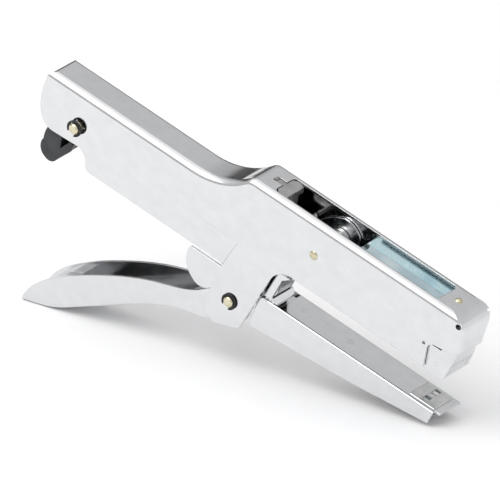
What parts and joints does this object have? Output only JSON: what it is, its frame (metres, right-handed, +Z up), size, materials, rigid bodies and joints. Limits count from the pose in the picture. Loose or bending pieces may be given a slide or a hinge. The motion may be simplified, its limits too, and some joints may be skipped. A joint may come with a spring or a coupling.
{
  "type": "stapler",
  "caption": "Hand stapler of the plier kind in chromed sheet steel, squeezed between an upper and a lower handle, with an anvil arm under a spring-loaded magazine.",
  "frame": {"origin": "Bottom centre of the bounding box, on the surface that the tool stands on.", "axes": "+X towards the nose, +Y to the far side across the sheet-metal width, +Z up."},
  "size_m": [0.2106, 0.0226, 0.1006],
  "materials": {
    "chrome_plate": "Bright chrome plate on bent sheet steel, softly mottled by the drawn surface below it.",
    "zinc_plate": "Blue-passivated zinc plate on the inner sheet parts, with fine lengthwise rolling marks.",
    "spring_steel": "Tempered spring steel, satin.",
    "hardened_steel": "Ground hardened steel with fine scratches.",
    "brass_pin": "Yellow-passivated turned pins and rivets, pale brass in colour.",
    "black_oxide": "Blackened spring-steel clips with a low sheen.",
    "black_plastic": "Black moulded nylon with a fine grain."
  },
  "bodies": {
    "frame": {"upper_shell": "chrome_plate", "driver_channel": "zinc_plate", "driver_blade": "hardened_steel", "driver_rivet": "brass_pin", "jaw_return_leaf": "spring_steel", "pivot_pin": "brass_pin", "pivot_clips": "black_oxide", "pivot_sleeve": "hardened_steel", "jaw_rivet": "brass_pin", "jaw_sleeve": "hardened_steel", "latch_pin": "brass_pin", "latch_clips": "black_oxide", "magazine_leaf": "spring_steel"},
    "handle": {"lower_handle": "chrome_plate", "drive_pin": "hardened_steel", "handle_spring": "spring_steel"},
    "jaw": {"anvil_arm": "chrome_plate", "anvil_plate": "hardened_steel", "anvil_rivets": "hardened_steel", "jaw_lever": "chrome_plate", "lever_rivets": "chrome_plate"},
    "magazine": {"magazine_channel": "zinc_plate", "magazine_nose": "chrome_plate", "nose_rivets": "chrome_plate", "staple_rail": "zinc_plate", "guide_rod": "hardened_steel", "rod_holder": "zinc_plate", "pusher_spring": "spring_steel"},
    "pusher": {"pusher": "zinc_plate"},
    "latch": {"latch": "black_plastic", "latch_spring": "spring_steel"}
  },
  "joints": [
    {"name": "handle_squeeze", "type": "hinge", "parent": "frame", "child": "handle", "pos_m": [-0.00421, 0, 0.02798], "axis": [0, 1, 0], "range_deg": [0, 27], "stiffness_Nm_per_rad": 1, "springref_deg": -34.38, "deforming": ["handle_spring"]},
    {"name": "jaw_swing", "type": "hinge", "parent": "frame", "child": "jaw", "pos_m": [0.03561, 0, 0.05852], "axis": [0, 1, 0], "range_deg": [-16.23, 0], "deforming": ["jaw_return_leaf"]},
    {"name": "magazine_rock", "type": "hinge", "parent": "frame", "child": "magazine", "pos_m": [-0.07798, 0, 0.08102], "axis": [0, 1, 0], "range_deg": [-1.13, 0], "deforming": ["magazine_leaf"]},
    {"name": "pusher_slide", "type": "slide", "parent": "magazine", "child": "pusher", "axis": [-0.9516, 0, 0.3074], "range_m": [0, 0.12], "stiffness_N_per_m": 12, "springref_m": -0.15, "deforming": ["pusher_spring"]},
    {"name": "latch_swing", "type": "hinge", "parent": "frame", "child": "latch", "pos_m": [-0.07798, 0, 0.08102], "axis": [0, 1, 0], "range_deg": [0, 40], "stiffness_Nm_per_rad": 0.05, "springref_deg": -28.65, "deforming": ["latch_spring"]}
  ],
  "couplings": [
    {"joint": "jaw_swing", "follows": "handle_squeeze", "ratio": -0.58993},
    {"joint": "magazine_rock", "follows": "handle_squeeze", "ratio": -0.0401}
  ]
}
